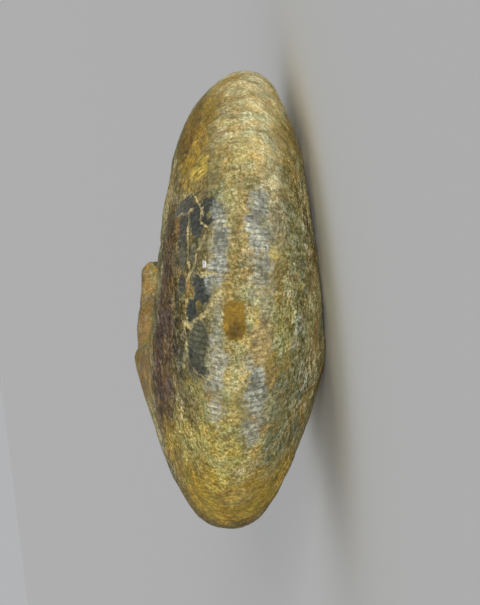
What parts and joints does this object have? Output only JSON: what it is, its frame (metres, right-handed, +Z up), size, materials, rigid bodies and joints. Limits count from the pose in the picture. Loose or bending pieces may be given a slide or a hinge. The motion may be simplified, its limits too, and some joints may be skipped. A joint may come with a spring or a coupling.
{
  "type": "fossil ammonite",
  "caption": "Thick-whorled fossil ammonite filled with stone, its mouth broken off, lying on one flank with both umbilici open.",
  "frame": {"origin": "on the table under the middle of the bounding box, with the fossil lying on its lower flank", "axes": "+Z up, out of the upper flank; +Y towards the broken mouth; +X towards the thinner, younger part of the outer whorl that lies opposite its widest part"},
  "size_m": [0.149, 0.1708, 0.061],
  "materials": {
    "fossil_stone": "mottled ochre, tan and olive fossil shell and stone, fine growth lines across the whorl, dark glossy patches and pale calcite veins"
  },
  "bodies": {
    "root": {"ammonite": "fossil_stone"}
  },
  "joints": []
}
